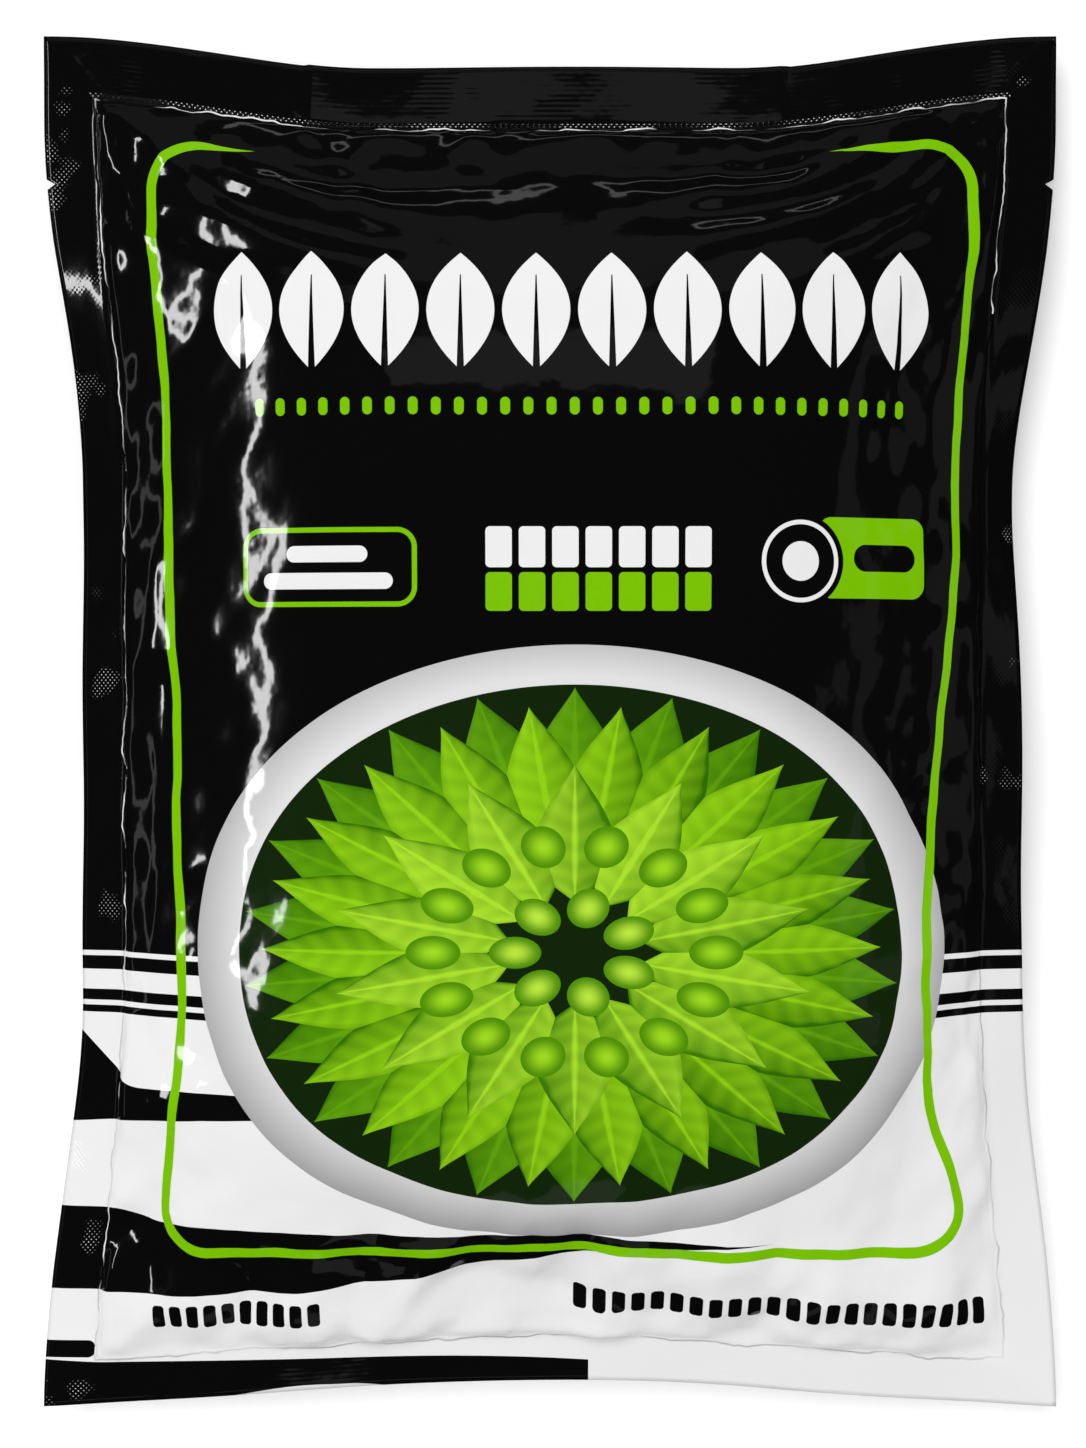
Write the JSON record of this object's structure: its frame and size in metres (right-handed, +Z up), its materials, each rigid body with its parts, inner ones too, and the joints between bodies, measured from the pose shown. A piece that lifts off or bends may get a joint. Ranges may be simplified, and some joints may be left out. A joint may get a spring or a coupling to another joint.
{
  "type": "frozen edamame pouch",
  "caption": "Flat heat-sealed film pouch full of frozen edamame pods, lying on its back, with welded bands round its edges and tear notches at its sides.",
  "frame": {"origin": "middle of the plan outline, on the surface that the pouch lies on", "axes": "+X to the right of the printed front, +Y towards the top seal, +Z up out of the printed front"},
  "size_m": [0.375, 0.5073, 0.0908],
  "materials": {
    "front_film": "glossy reverse-printed laminate, black over white, with green line work",
    "back_film": "glossy reverse-printed laminate, black over white",
    "edamame_pods": "frozen green pods with fine down and a little frost"
  },
  "bodies": {
    "root": {"front_film": "front_film", "back_film": "back_film", "edamame_pods": "edamame_pods"}
  },
  "joints": []
}
